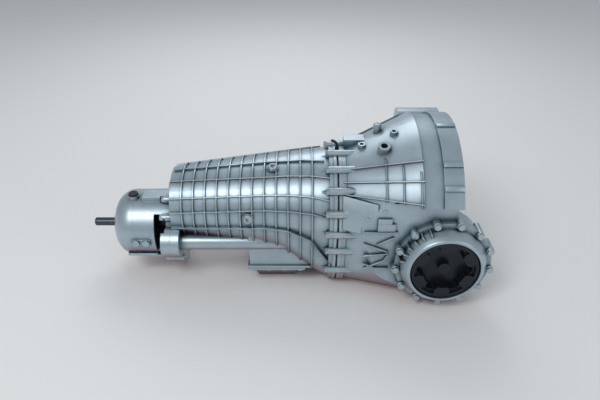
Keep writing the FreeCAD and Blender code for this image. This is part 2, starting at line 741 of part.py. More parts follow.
def build_rear_housing():
    flange = size("tail_flange_thickness")
    wall = size("tail_wall")
    outer = tail_profile(0)
    lobe = size("transfer_width") + 8
    lobe_start = Vector(CASE_REAR - lobe, SIDE_Y, OUTPUT_Z)
    extras = [
        tube(Vector(CASE_REAR - flange, 0, OUTPUT_Z), X_AXIS, flange, size("tail_radius")),
        tube(lobe_start, X_AXIS, lobe, size("side_lobe_radius")),
        slab(
            Vector(CASE_REAR - 72, -28, OUTPUT_Z + 60),
            Vector(CASE_REAR, 6, OUTPUT_Z + size("tail_radius") + 3),
        ),
        slab(Vector(CASE_REAR - 110, SIDE_Y + 8, OUTPUT_Z - 46), Vector(CASE_REAR, -20, OUTPUT_Z - 40)),
        tube(CAP_SEAT - Vector(0, 0, 33), Z_AXIS, 33, 13),
    ]
    for turn in TAIL_BOLT_TURNS:
        foot = about_output(CASE_REAR - TAIL_BOSS, TAIL_BOLT_RADIUS, turn)
        extras.append(tube(foot, X_AXIS, TAIL_BOSS, size("seam_boss_radius")))
    # bracket seat with two screw bosses on the left
    for lift in (0, 22):
        seat = Vector(TAIL_REAR + 58 + lift, -40, OUTPUT_Z - 4)
        extras.append(tube(seat, Vector(0, -1, 0), size("tail_radius") - 40 + 5, 8))
    extras.append(slab(Vector(TAIL_REAR + 50, -size("tail_radius") - 1, OUTPUT_Z - 12),
                       Vector(TAIL_REAR + 90, -60, OUTPUT_Z + 4)))
    body = outer.fuse(extras)
    window_start = CASE_REAR - size("window_offset") - size("window_width")
    window = tube(Vector(window_start, 0, OUTPUT_Z), X_AXIS, size("window_width"), size("tail_radius") + 20)
    window = window.common(slab(
        Vector(window_start, -200, OUTPUT_Z - 44),
        Vector(window_start + size("window_width"), -30, OUTPUT_Z + 56),
    ))
    strut = slab(Vector(0, -size("tail_radius") - 2, -2), Vector(58, -size("tail_radius") + 14, 2))
    strut.Placement = Placement(Vector(window_start - 4, 0, OUTPUT_Z - 42), Rotation(Y_AXIS, -52))
    holes = [
        tail_profile(wall),
        tube(CAP_SEAT - Vector(0, 0, 23), Z_AXIS, 24, 7),
        tube(lobe_start + Vector(4, 0, 0), X_AXIS, lobe - 4, size("side_lobe_radius") - 4),
        tube(Vector(TAIL_REAR - 1, 0, OUTPUT_Z), X_AXIS, 60, BEARING_OUTER),
        window.cut(strut),
    ]
    for turn in TAIL_BOLT_TURNS:
        foot = about_output(CASE_REAR - TAIL_BOSS, TAIL_BOLT_RADIUS, turn)
        holes.append(tube(foot, X_AXIS, TAIL_BOSS, BOLT_HOLE))
        holes.append(tube(foot, Vector(-1, 0, 0), 12, SPOT_FACE))
    neck = tube(Vector(TAIL_REAR + 2, 0, OUTPUT_Z), X_AXIS, 34, BEARING_OUTER + 7, BEARING_OUTER)
    return body.cut(holes).fuse(neck)


plain_feature("rear_housing", build_rear_housing())


# ---------------------------------------------------------------- oil pan and gasket
def tray(low_inset, top_z, low_z, inset):
    """Tapered tray between the pan joint and the floor."""
    wires = []
    for level, narrow in ((top_z, inset), (low_z, inset + low_inset)):
        half = size("sump_half_width") - narrow
        rear = SUMP_REAR + narrow / 2
        front = PAN_FRONT - 6 - narrow / 2
        corners = [Vector(rear, -half, level), Vector(front, -half, level),
                   Vector(front, half, level), Vector(rear, half, level)]
        wires.append(Part.makePolygon(corners + corners[:1]))
    return Part.makeLoft(wires, True, True)


def pan_frame(low_z, high_z):
    """Flat rim round the pan."""
    half = size("sump_half_width") + 4
    return slab(Vector(SUMP_REAR - 4, -half, low_z), Vector(PAN_FRONT - 0.5, half, high_z))


def pan_holes(top, depth):
    return [tube(Vector(x, y, top - depth), Z_AXIS, depth, PAN_BOLT_HOLE) for x, y in PAN_BOLT_PLACES]


def build_oil_pan():
    inset = size("sump_half_width") - size("pan_floor_half_width")
    wall = size("pan_wall")
    rim = pan_frame(PAN_TOP - size("pan_flange_thickness"), PAN_TOP)
    body = rim.fuse(tray(inset - 8, PAN_TOP, FLOOR_Z, 8))
    well = tray(inset - 8, PAN_TOP + 0.01, FLOOR_Z + wall, 8 + wall)
    drain = tube(Vector(SUMP_REAR + 50, 0, FLOOR_Z), Z_AXIS, 14, 14)
    bore = tube(Vector(SUMP_REAR + 50, 0, FLOOR_Z), Z_AXIS, 14, 7)
    recess = tube(Vector(SUMP_REAR + 50, 0, FLOOR_Z), Z_AXIS, 5, 12)
    return body.cut(well).fuse(drain).cut([bore, recess] + pan_holes(PAN_TOP, size("pan_flange_thickness")))


def build_pan_gasket():
    rim = pan_frame(PAN_TOP, PAN_SEAT_Z)
    half = size("sump_half_width") - 8 - size("pan_wall")
    window = slab(Vector(SUMP_REAR + 10, -half, PAN_TOP - 1), Vector(PAN_FRONT - 16, half, PAN_SEAT_Z + 1))
    return rim.cut([window] + pan_holes(PAN_SEAT_Z, size("gasket_thickness")))


plain_feature("oil_pan", build_oil_pan())
plain_feature("pan_gasket", build_pan_gasket())


# ---------------------------------------------------------------- differential cover and its turned pieces
OUTPUT_DROP = "-Sizes.gear_module * Sizes.gear_pair_teeth / 2"
SIDE_OFFSET = "-Sizes.gear_module * (Sizes.transfer_wheel_teeth + Sizes.side_gear_teeth) / 2"
AXLE_PLACE = {"along": "y", "x": "-Sizes.axle_station", "z": OUTPUT_DROP}
OUTPUT_PLACE = {"z": OUTPUT_DROP}
SIDE_PLACE = {"y": SIDE_OFFSET, "z": OUTPUT_DROP}
STACK = {
    "bell": "-Sizes.bell_length",
    "joint": "-Sizes.bell_length - Sizes.plate_thickness",
    "case": "-Sizes.bell_length - Sizes.plate_thickness - Sizes.case_length",
    "tail": "-Sizes.bell_length - Sizes.plate_thickness - Sizes.case_length - Sizes.rear_housing_length",
}


def cover_solid():
    """Round cover: seat flange, smooth collar, hub for the left-hand bearing and seal."""
    lip = COVER_Y - size("cover_reach")
    flange = COVER_Y - size("cover_flange_thickness")
    opening = size("cover_opening_radius")
    web = COVER_Y - 5
    hub = size("axle_radius") + size("bearing_section")
    profile = [
        (COVER_Y, DRUM_RADIUS - 2), (COVER_Y, size("cover_radius") - 4), (flange, size("cover_radius") - 4),
        (flange, opening + 18), (flange - 8, opening + 17), (lip + 9, opening + 11), (lip + 2, opening + 7),
        (lip, opening + 5), (lip, opening), (web - 6, opening - 2), (web - 6, size("axle_radius") + 7),
        (web + 1, size("axle_radius") + 7), (web + 1, hub), (COVER_Y + 12, hub), (COVER_Y + 12, hub + 6),
        (web + 1, hub + 8), (web + 1, DRUM_RADIUS - 9), (COVER_Y, DRUM_RADIUS - 9),
    ]
    points = [Vector(AXLE_X + radius, across, OUTPUT_Z) for across, radius in profile]
    face = Part.Face(Part.makePolygon(points + points[:1]))
    body = face.revolve(Vector(AXLE_X, 0, OUTPUT_Z), Y_AXIS, 360)
    extras = []
    for turn in COVER_BOLT_SPOTS:
        foot = about_axle(flange - 2, COVER_BOLT_RADIUS, turn)
        extras.append(tube(foot, Y_AXIS, size("cover_flange_thickness") + 2, size("cover_boss_radius")))
    for step in range(int(size("cover_rib_count"))):
        turn = size("cover_rib_start") + step * size("cover_rib_pitch")
        rib = slab(Vector(-1.5, lip + 10, opening + 5), Vector(1.5, flange, opening + 24))
        rib.Placement = Placement(AXLE, Rotation(Y_AXIS, turn))
        extras.append(rib)
    holes = []
    for turn in COVER_BOLT_SPOTS:
        head = about_axle(flange - 14, COVER_BOLT_RADIUS, turn)
        holes.append(tube(head, Y_AXIS, 12, SPOT_FACE))
        foot = about_axle(flange - 3, COVER_BOLT_RADIUS, turn)
        holes.append(tube(foot, Y_AXIS, size("cover_flange_thickness") + 4, BOLT_HOLE))
    return body.fuse(extras).cut(holes)


plain_feature("differential_cover", cover_solid())


# ---------------------------------------------------------------- drive flanges
def lobed_recess(start, depth, radius, lobe, count):
    """Pocket with lobes between the lands of a drive flange, open towards -Y or +Y."""
    low, high = min(start, start + depth), max(start, start + depth)
    pocket = axle_tube(low, high, radius)
    lobes = []
    for step in range(count):
        centre = about_axle(low, radius, 360 * (step + 0.5) / count)
        lobes.append(tube(centre, Y_AXIS, high - low, lobe))
    return pocket.fuse(lobes).removeSplitter()


def build_left_drive_flange():
    lip = COVER_Y - size("cover_reach") + 3
    floor = lip + size("drive_cup_depth")
    back = COVER_Y - 11 - 0.6
    cup = axle_tube(lip, back, size("drive_cup_radius"))
    cup = cup.fuse(axle_tube(back, CARRIER_LEFT, size("axle_radius")))
    recess = lobed_recess(lip - 1, floor - lip - 4, size("drive_cup_radius") - 25, 13, 6)
    step_ring = axle_tube(lip - 1, lip + 6, size("drive_cup_radius") - 7)
    land_outer = size("drive_cup_radius") - 3
    lands = []
    for step in range(6):
        land = slab(Vector(-17, lip, land_outer - 23), Vector(17, lip + 6, land_outer))
        land.Placement = Placement(AXLE, Rotation(Y_AXIS, 60 * step))
        lands.append(land.common(axle_tube(lip, lip + 6, land_outer)))
    hub = axle_tube(lip + 9, floor, 13)
    return cup.cut([step_ring]).fuse(lands).cut(recess).fuse(hub)


plain_feature("left_drive_flange", build_left_drive_flange())


# ---------------------------------------------------------------- right drive flange
def build_right_drive_flange():
    seat = RIGHT_SEAT + 8
    shaft = axle_tube(CARRIER_RIGHT, seat, size("axle_radius"))
    disc = axle_tube(seat, seat + 12, size("right_flange_radius"))
    rim = axle_tube(seat + 12, seat + 16, size("right_flange_radius"), size("right_flange_radius") - 12)
    holes = []
    for step in range(6):
        spot = about_axle(seat - 1, size("right_flange_radius") - 9, 60 * step + 30)
        holes.append(tube(spot, Y_AXIS, 20, size("flange_bolt_hole") / 2))
    return shaft.fuse([disc, rim]).cut(holes)


plain_feature("right_drive_flange", build_right_drive_flange())


# ---------------------------------------------------------------- input shaft, output shaft and side shaft
turned("input_shaft", [
    (STACK["case"] + " + 6", "0"),
    (STACK["case"] + " + 6", "Sizes.input_radius"),
    (STACK["case"] + " + 60", "Sizes.input_radius"),
    (STACK["case"] + " + 60", "Sizes.input_radius + 3"),
    (STACK["case"] + " + 122", "Sizes.input_radius + 3"),
    (STACK["case"] + " + 122", "Sizes.input_radius"),
    (STACK["bell"] + " + 30", "Sizes.input_radius"),
    ("-Sizes.axle_station - 90", "Sizes.input_radius"),
    ("-Sizes.axle_station - 90", "Sizes.input_radius - 2"),
    ("-12", "Sizes.input_radius - 2"),
    ("-9", "Sizes.input_radius - 5"),
    ("-9", "0"),
])
turned("clutch_drum", [
    ("-Sizes.axle_station - Sizes.clutch_gap - Sizes.clutch_length", "Sizes.input_radius"),
    ("-Sizes.axle_station - Sizes.clutch_gap - Sizes.clutch_length", "Sizes.clutch_radius - 6"),
    ("-Sizes.axle_station - Sizes.clutch_gap - Sizes.clutch_length + 6", "Sizes.clutch_radius"),
    ("-Sizes.axle_station - Sizes.clutch_gap", "Sizes.clutch_radius"),
    ("-Sizes.axle_station - Sizes.clutch_gap", "Sizes.clutch_radius - 6"),
    ("-Sizes.axle_station - Sizes.clutch_gap - 8", "Sizes.clutch_radius - 6"),
    ("-Sizes.axle_station - Sizes.clutch_gap - 8", "Sizes.input_radius + 26"),
    ("-Sizes.axle_station - Sizes.clutch_gap - 3", "Sizes.input_radius + 26"),
    ("-Sizes.axle_station - Sizes.clutch_gap - 3", "Sizes.input_radius"),
])


def build_output_shaft():
    """Rear output shaft with its long splined stub."""
    tip = TAIL_REAR - size("stub_length")
    spline_end = TAIL_REAR - 4
    base = Vector(tip, 0, OUTPUT_Z)
    stub = tube(base, X_AXIS, TAIL_REAR + 8 - tip, size("stub_radius"))
    stub = stub.makeChamfer(2.2, [edge for edge in stub.Edges if edge.BoundBox.XMax < tip + 1])
    main_start = Vector(TAIL_REAR + 6, 0, OUTPUT_Z)
    main = tube(main_start, X_AXIS, BELL_REAR - 3 - main_start.x, size("output_radius"))
    count = int(size("stub_splines"))
    grooves = []
    for step in range(count):
        groove = slab(
            Vector(tip - 1, -0.8, size("stub_radius") - 1.1), Vector(spline_end, 0.8, size("stub_radius") + 2),
        )
        groove.Placement = Placement(Vector(0, 0, OUTPUT_Z), Rotation(X_AXIS, 360 * step / count))
        grooves.append(groove)
    return stub.cut(grooves).fuse(main)


plain_feature("output_shaft", build_output_shaft())
turned("side_shaft", [
    (STACK["case"] + " - Sizes.transfer_width - 3", "0"),
    (STACK["case"] + " - Sizes.transfer_width - 3", "Sizes.side_radius"),
    ("-Sizes.axle_station - Sizes.bevel_module * Sizes.crown_teeth / 2 + 2", "Sizes.side_radius"),
    ("-Sizes.axle_station - Sizes.bevel_module * Sizes.crown_teeth / 2 + 2", "0"),
], **SIDE_PLACE)


# ---------------------------------------------------------------- spur gears
def involute(angle):
    return math.tan(angle) - angle


def tooth_half_angle(radius, pitch_radius, half_thickness):
    """Half the angle of a tooth at a radius, from its half thickness on the pitch circle."""
    pressure = math.radians(size("pressure_angle"))
    base = pitch_radius * math.cos(pressure)
    at_radius = math.acos(min(base / max(radius, base), 1))
    return half_thickness / pitch_radius + involute(pressure) - involute(at_radius)


def spur_gear(teeth, width, bore, centre, first_tooth):
    """Involute spur wheel on an axis along X; the first tooth points along the given turn."""
    module = size("gear_module")
    pitch_radius = module * teeth / 2
    tip = pitch_radius + module
    root = pitch_radius - 1.25 * module
    base = pitch_radius * math.cos(math.radians(size("pressure_angle")))
    foot = max(base, root) + 0.01
    half_thickness = math.pi * module / 4 - size("backlash") / 4
    radii = (foot, (foot + tip) / 2, tip)
    spread = [math.degrees(tooth_half_angle(radius, pitch_radius, half_thickness)) for radius in radii]
    edges = []
    for tooth in range(teeth):
        middle = first_tooth + 360 * tooth / teeth
        following = middle + 360 / teeth
        rise = [around(0, radius, middle - angle) for radius, angle in zip(radii, spread)]
        fall = [around(0, radius, middle + angle) for radius, angle in zip(radii, spread)]
        corner = around(0, root, middle + spread[0])
        next_corner = around(0, root, following - spread[0])
        next_foot = around(0, foot, following - spread[0])
        edges.append(Part.Arc(*rise).toShape())
        edges.append(Part.LineSegment(rise[2], fall[2]).toShape())
        edges.append(Part.Arc(fall[2], fall[1], fall[0]).toShape())
        if foot - root > 0.1:
            edges.append(Part.LineSegment(fall[0], corner).toShape())
            edges.append(Part.LineSegment(corner, next_corner).toShape())
            edges.append(Part.LineSegment(next_corner, next_foot).toShape())
        else:
            edges.append(Part.LineSegment(fall[0], next_foot).toShape())
    face = Part.Face(Part.Wire(Part.__sortEdges__(edges)))
    solid = face.extrude(Vector(width, 0, 0)).cut(Part.makeCylinder(bore, width, Vector(0, 0, 0), X_AXIS))
    return solid.translate(centre)


WIDTH = size("gear_width")
PAIR_TEETH = int(size("gear_pair_teeth"))
FREE_BORE = size("output_radius") + size("running_clearance")
GEAR_PAIRS = (
    ("first", int(size("first_pinion_teeth")), CASE_FRONT - 80, FREE_BORE),
    ("second", int(size("second_pinion_teeth")), CASE_FRONT - 145, size("output_radius")),
    ("third", int(size("third_pinion_teeth")), CASE_FRONT - 215, FREE_BORE),
)
for name, teeth, station, wheel_bore in GEAR_PAIRS:
    wheel_teeth = PAIR_TEETH - teeth
    plain_feature(
        name + "_drive_gear", spur_gear(teeth, WIDTH, size("input_radius"), Vector(station, 0, 0), 180),
    )
    plain_feature(
        name + "_driven_gear",
        spur_gear(wheel_teeth, WIDTH - 2, wheel_bore, Vector(station + 1, 0, OUTPUT_Z), 180 / wheel_teeth),
    )

TRANSFER_X = CASE_REAR - size("transfer_width") - 1
SIDE_TEETH = int(size("side_gear_teeth"))
plain_feature("transfer_wheel", spur_gear(
    int(size("transfer_wheel_teeth")), size("transfer_width"), size("output_radius"),
    Vector(TRANSFER_X, 0, OUTPUT_Z), 90,
))
plain_feature("side_gear", spur_gear(
    SIDE_TEETH, size("transfer_width"), size("side_radius"),
    Vector(TRANSFER_X, SIDE_Y, OUTPUT_Z), 270 + 180 / SIDE_TEETH,
))


# ---------------------------------------------------------------- bevel pinion and crown wheel
APEX = Vector(AXLE_X, SIDE_Y, OUTPUT_Z)
CONE_LENGTH = math.hypot(CROWN_RADIUS, PINION_PITCH)
BEVEL_SHIFT = 0.35


def bevel_gap(axis, outward, pitch_radius, teeth, shift, scale_pair):
    """Space between two bevel teeth: a profile on the tangent plane drawn towards the apex."""
    module = size("bevel_module")
    cone = math.asin(pitch_radius / CONE_LENGTH)
    virtual = pitch_radius / math.cos(cone)
    generator = axis * math.cos(cone) + outward * math.sin(cone)
    normal = outward * math.cos(cone) - axis * math.sin(cone)
    across = axis.cross(outward)
    pressure = math.radians(size("pressure_angle"))
    half_tooth = module * (math.pi / 4 + shift * math.tan(pressure)) - size("backlash") / 4
    half_pitch = math.pi * module / 2 / virtual
    base = virtual * math.cos(pressure)
    root = virtual - (1.25 - shift) * module
    foot = max(base, root + 0.5)
    top = virtual + (1 + shift) * module
    flank = []
    for radius in (root, foot, (foot + top) / 2, top):
        angle = half_pitch - tooth_half_angle(max(radius, foot), virtual, half_tooth)
        flank.append((radius * math.sin(angle), radius * math.cos(angle) - virtual))
    flank.append((flank[3][0] * 1.1, flank[3][1] + module))
    wires = []
    for scale in scale_pair:
        right = [APEX + (generator * CONE_LENGTH + across * u + normal * v) * scale for u, v in flank]
        left = [APEX + (generator * CONE_LENGTH - across * u + normal * v) * scale for u, v in flank]
        rising = Part.makePolygon([left[1], left[0], right[0], right[1]])
        closing = Part.makePolygon([right[3], right[4], left[4], left[3]])
        edges = rising.Edges + [Part.Arc(right[1], right[2], right[3]).toShape()]
        edges += closing.Edges + [Part.Arc(left[3], left[2], left[1]).toShape()]
        wires.append(Part.Wire(edges))
    return Part.makeLoft(wires, True, True)


def cone_point(pitch_radius, height, scale):
    """Distance along the gear axis and radius of a point above the pitch cone."""
    cone = math.asin(pitch_radius / CONE_LENGTH)
    along = (CONE_LENGTH * math.cos(cone) - height * math.sin(cone)) * scale
    radius = (pitch_radius + height * math.cos(cone)) * scale
    return along, radius


def bevel_gear(axis, zero, pitch_radius, teeth, shift, bore, backing, first_gap):
    """Straight bevel gear; the backing is how far its hub reaches past the pitch circle."""
    module = size("bevel_module")
    inner = 1 - size("bevel_face") / CONE_LENGTH
    tip_out = cone_point(pitch_radius, (1 + shift) * module, 1)
    tip_in = cone_point(pitch_radius, (1 + shift) * module, inner)
    root_out = cone_point(pitch_radius, -(1.25 - shift) * module - 3, 1)
    root_in = cone_point(pitch_radius, -(1.25 - shift) * module - 3, inner)
    last = cone_point(pitch_radius, 0, 1)[0] + backing
    profile = [
        (root_in[0], bore), root_in, tip_in, tip_out, root_out, (last, root_out[1]), (last, bore),
    ]
    points = [APEX + axis * along + zero * radius for along, radius in profile]
    blank = Part.Face(Part.makePolygon(points + points[:1])).revolve(APEX, axis, 360)
    gaps = []
    for step in range(teeth):
        spin = Rotation(axis, first_gap + 360 * step / teeth)
        gaps.append(bevel_gap(axis, spin.multVec(zero), pitch_radius, teeth, shift, (1.08, inner - 0.1)))
    return blank.cut(gaps)


plain_feature("bevel_pinion", bevel_gear(
    Vector(-1, 0, 0), Vector(0, -1, 0), PINION_PITCH, int(size("bevel_pinion_teeth")), BEVEL_SHIFT,
    size("side_radius"), 12, 180 / size("bevel_pinion_teeth"),
))
plain_feature("crown_wheel", bevel_gear(
    Vector(0, -1, 0), Vector(-1, 0, 0), CROWN_RADIUS, int(size("crown_teeth")), -BEVEL_SHIFT,
    size("crown_bore"), size("crown_backing"), 0,
))


# ---------------------------------------------------------------- differential carrier
TRUNNION = size("axle_radius") + 4
CROWN_BACK = CROWN_Y - size("crown_backing")


def build_carrier():
    flange = axle_tube(CROWN_BACK - 6, CROWN_BACK, size("crown_bore") + 18)
    body = axle_tube(CROWN_BACK - 6, INNER_WALL_Y - 17, size("crown_bore"))
    case = axle_tube(CROWN_Y + 12, INNER_WALL_Y - 17, size("carrier_radius"))
    left = axle_tube(COVER_Y - 2, CROWN_BACK, TRUNNION)
    right = axle_tube(INNER_WALL_Y - 20, INNER_WALL_Y - 2, TRUNNION)
    bores = [
        axle_tube(COVER_Y - 3, CARRIER_LEFT + 1, size("axle_radius") + size("running_clearance")),
        axle_tube(CARRIER_RIGHT - 1, INNER_WALL_Y, size("axle_radius") + size("running_clearance")),
    ]
    return body.fuse([flange, case, left, right]).cut(bores)


plain_feature("differential_carrier", build_carrier())


# ---------------------------------------------------------------- bearings and seals
def bearing(label, start, width, inner, outer, **place):
    """Ball bearing as one shielded ring with a running fit on its shaft."""
    end = "%s + %s" % (start, width)
    middle_in = "0.65 * (%s) + 0.35 * (%s)" % (inner, outer)
    middle_out = "0.35 * (%s) + 0.65 * (%s)" % (inner, outer)
    turned(label, [
        (start, inner), (start, middle_in), (start + " + 1.2", middle_in), (start + " + 1.2", middle_out),
        (start, middle_out), (start, outer), (end, outer), (end, middle_out), (end + " - 1.2", middle_out),
        (end + " - 1.2", middle_in), (end, middle_in), (end, inner),
    ], **place)


INPUT_FIT = "Sizes.input_radius + Sizes.running_clearance"
OUTPUT_FIT = "Sizes.output_radius + Sizes.running_clearance"
INPUT_SEAT = "Sizes.input_radius + Sizes.bearing_section"
OUTPUT_SEAT = "Sizes.output_radius + Sizes.bearing_section"
AXLE_SEAT = "Sizes.axle_radius + Sizes.bearing_section"
AXLE_FIT = "Sizes.axle_radius + Sizes.running_clearance"
TRUNNION_FIT = "Sizes.axle_radius + 4 + Sizes.running_clearance"
BEARING = "Sizes.bearing_width"
bearing("input_front_bearing", STACK["joint"] + " + 2", BEARING, INPUT_FIT, INPUT_SEAT)
bearing("input_rear_bearing", STACK["case"] + " + 4", BEARING, INPUT_FIT, INPUT_SEAT)
bearing("output_front_bearing", STACK["joint"] + " + 1", BEARING, OUTPUT_FIT, OUTPUT_SEAT, **OUTPUT_PLACE)
bearing("output_rear_bearing", STACK["case"] + " + 4", BEARING, OUTPUT_FIT, OUTPUT_SEAT, **OUTPUT_PLACE)
bearing("output_tail_bearing", STACK["tail"] + " + 18", BEARING, OUTPUT_FIT, OUTPUT_SEAT, **OUTPUT_PLACE)
SIDE_FIT = "Sizes.side_radius + Sizes.running_clearance"
SIDE_SEAT = "Sizes.side_radius + 2"
PINION_END = "-Sizes.axle_station - Sizes.bevel_module * Sizes.crown_teeth / 2"
turned(
    "side_shaft_bushes",
    ring_profile(STACK["case"] + " + 2", STACK["case"] + " + 22", SIDE_FIT, SIDE_SEAT), **SIDE_PLACE,
)
turned(
    "pinion_bush", ring_profile(PINION_END + " - 44", PINION_END + " - 22", SIDE_FIT, SIDE_SEAT), **SIDE_PLACE,
)
bearing("left_carrier_bearing", "-Sizes.cover_seat - 3.6", "14", TRUNNION_FIT, AXLE_SEAT, **AXLE_PLACE)
bearing("right_carrier_bearing", "-Sizes.inner_wall_offset - 10.6", "9.6", TRUNNION_FIT, AXLE_SEAT, **AXLE_PLACE)
bearing("right_axle_bearing", "Sizes.right_seat - 20", "12", AXLE_FIT, AXLE_SEAT, **AXLE_PLACE)
turned(
    "right_axle_seal",
    ring_profile("Sizes.right_seat - 7.6", "Sizes.right_seat - 0.4", AXLE_FIT, AXLE_SEAT), **AXLE_PLACE,
)
turned(
    "left_axle_seal",
    ring_profile("-Sizes.cover_seat - 10.6", "-Sizes.cover_seat - 4.4", AXLE_FIT, "Sizes.axle_radius + 7"),
    **AXLE_PLACE,
)
turned(
    "output_seal",
    ring_profile(STACK["tail"] + " + 8", STACK["tail"] + " + 16", OUTPUT_FIT, OUTPUT_SEAT), **OUTPUT_PLACE,
)
turned("input_seal", ring_profile(STACK["bell"] + " - 2", STACK["bell"], INPUT_FIT, INPUT_SEAT))


# ---------------------------------------------------------------- fasteners, plugs and the breather
def bolt_group(label, seats, direction, grip):
    plain_feature(label, Part.makeCompound([hex_bolt(seat, direction, grip) for seat in seats]))


bolt_group("case_bolts", seam_places(CASE_FRONT - FLANGE), X_AXIS, size("case_bolt_grip"))
COVER_BOLT_Y = COVER_Y - size("cover_flange_thickness") - 2
bolt_group(
    "cover_bolts", [about_axle(COVER_BOLT_Y, COVER_BOLT_RADIUS, turn) for turn in COVER_BOLT_SPOTS],
    Y_AXIS, size("cover_flange_thickness") + 15,
)
bolt_group(
    "rear_housing_bolts",
    [about_output(CASE_REAR - TAIL_BOSS, TAIL_BOLT_RADIUS, turn) for turn in TAIL_BOLT_TURNS],
    X_AXIS, TAIL_BOSS + 12,
)


def build_pan_bolts():
    bolts = []
    for x, y in PAN_BOLT_PLACES:
        low = PAN_TOP - size("pan_flange_thickness")
        head = tube(Vector(x, y, low - 5), Z_AXIS, 5, 5)
        bolts.append(head.fuse(tube(Vector(x, y, low), Z_AXIS, size("pan_flange_thickness") + 5, 3)))
    return Part.makeCompound(bolts)


plain_feature("pan_bolts", build_pan_bolts())


def build_engine_dowels():
    """Shouldered ring dowels, pressed into the engine face."""
    dowels = []
    bore = size("engine_bolt_hole") / 2
    for turn in DOWEL_TURNS:
        seat = around(-DOWEL_DEPTH, size("engine_bolt_circle"), turn)
        nose = around(0, size("engine_bolt_circle"), turn)
        dowel = tube(seat, X_AXIS, DOWEL_DEPTH, DOWEL_SEAT, bore)
        dowels.append(dowel.fuse(tube(nose, X_AXIS, 8, size("dowel_diameter") / 2, bore)))
    return Part.makeCompound(dowels)


plain_feature("engine_dowels", build_engine_dowels())


def hex_socket(depth, width):
    corners = [around(0, width / math.sqrt(3), turn) for turn in range(0, 361, 60)]
    return Part.Face(Part.makePolygon(corners)).extrude(Vector(-depth, 0, 0))


def socket_plug(seat, inward, radius, depth):
    """Flanged screw plug with a hexagon socket."""
    head = tube(Vector(-3.5, 0, 0), X_AXIS, 3.5, radius)
    head = head.makeChamfer(1, [edge for edge in head.Edges if edge.BoundBox.XMax < -3])
    shank = tube(Vector(0, 0, 0), X_AXIS, depth, radius * 0.68)
    socket = hex_socket(7, radius).translate(Vector(3.5, 0, 0))
    plug = head.fuse(shank).cut(socket)
    plug.Placement = Placement(seat, Rotation(X_AXIS, inward))
    return plug


PLUG_RADIUS = size("plug_pad_radius") - 2.5
plain_feature("oil_plugs", Part.makeCompound([
    socket_plug(around(station, case_half_width(station) + 6, turn), around(0, -1, turn), PLUG_RADIUS, 10)
    for station, turn in PLUG_SPOTS
]))
plain_feature("drain_plug", socket_plug(Vector(SUMP_REAR + 50, 0, FLOOR_Z + 5), Z_AXIS, 10, 8))
cap = tube(CAP_SEAT, Z_AXIS, 5, 11)
cap = cap.makeFillet(2.4, [edge for edge in cap.Edges if edge.BoundBox.ZMin > CAP_SEAT.z + 4])
plain_feature("rear_cap", cap.fuse(tube(CAP_SEAT - Vector(0, 0, 6), Z_AXIS, 6, 6.8)))


def build_breather():
    """Curved vent horn pressed into the top of the intermediate plate."""
    bend = size("breather_bend")
    neck = BREATHER_FOOT + Vector(0, 0, 8)
    half = math.sqrt(0.5) * bend
    arc = Part.Arc(neck, neck + Vector(half - bend, 0, half), neck + Vector(-bend, 0, bend)).toShape()
    section = Part.Wire(Part.Circle(neck, Z_AXIS, size("breather_radius")).toShape())
    horn = Part.Wire(arc).makePipe(Part.Face(section))
    stem = tube(BREATHER_FOOT, Z_AXIS, 8, size("breather_radius") + 1.5)
    return stem.fuse([tube(BREATHER_FOOT - Vector(0, 0, 6), Z_AXIS, 6, size("breather_radius")), horn])


plain_feature("breather", build_breather())


# ---------------------------------------------------------------- check and write
doc.recompute()
for obj in doc.Objects:
    if "Invalid" in obj.State or "Error" in obj.State:
        raise RuntimeError("%s did not build: %s" % (obj.Label, obj.State))
for item in SUB_PARTS:
    if item.Shape.isNull() or not item.Shape.isValid():
        raise RuntimeError("%s has no sound shape" % item.Label)
for item in SUB_PARTS:
    item.Shape.exportStep("parts/%s.step" % item.Label)
    box = item.Shape.BoundBox
    print("%-24s %2d solids %8.1f cm3  x %.0f..%.0f y %.0f..%.0f z %.0f..%.0f" % (
        item.Label, len(item.Shape.Solids), item.Shape.Volume / 1000,
        box.XMin, box.XMax, box.YMin, box.YMax, box.ZMin, box.ZMax,
    ))
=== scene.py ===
# Ribbed cast gearbox housing of a longitudinal all-wheel-drive car, dressed over its
# fixed mechanical frame. Lengths are in metres.
import math

import bpy
from mathutils import Matrix, Vector


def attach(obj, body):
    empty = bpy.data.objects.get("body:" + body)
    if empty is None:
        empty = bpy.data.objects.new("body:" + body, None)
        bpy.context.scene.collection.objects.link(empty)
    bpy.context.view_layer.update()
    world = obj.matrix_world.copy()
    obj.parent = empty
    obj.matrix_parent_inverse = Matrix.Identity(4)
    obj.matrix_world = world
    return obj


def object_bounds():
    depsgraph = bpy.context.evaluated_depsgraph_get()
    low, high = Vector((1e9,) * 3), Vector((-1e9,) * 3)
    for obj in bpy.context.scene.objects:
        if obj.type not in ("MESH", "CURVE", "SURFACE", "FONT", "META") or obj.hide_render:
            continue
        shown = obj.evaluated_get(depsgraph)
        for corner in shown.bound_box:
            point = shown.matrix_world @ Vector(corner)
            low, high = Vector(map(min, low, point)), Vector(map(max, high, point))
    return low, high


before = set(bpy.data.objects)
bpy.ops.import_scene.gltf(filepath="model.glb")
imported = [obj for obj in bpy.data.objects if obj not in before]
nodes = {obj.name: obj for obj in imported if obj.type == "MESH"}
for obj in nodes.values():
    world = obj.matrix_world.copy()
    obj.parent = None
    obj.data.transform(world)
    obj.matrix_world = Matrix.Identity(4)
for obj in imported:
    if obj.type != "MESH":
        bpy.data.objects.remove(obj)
cad_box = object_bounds()
bpy.ops.object.select_all(action="DESELECT")


def new_material(name):
    material = bpy.data.materials.new(name)
    material.use_nodes = True
    tree = material.node_tree
    shader = tree.nodes["Principled BSDF"]
    place = tree.nodes.new("ShaderNodeTexCoord")
    return material, tree, shader, place


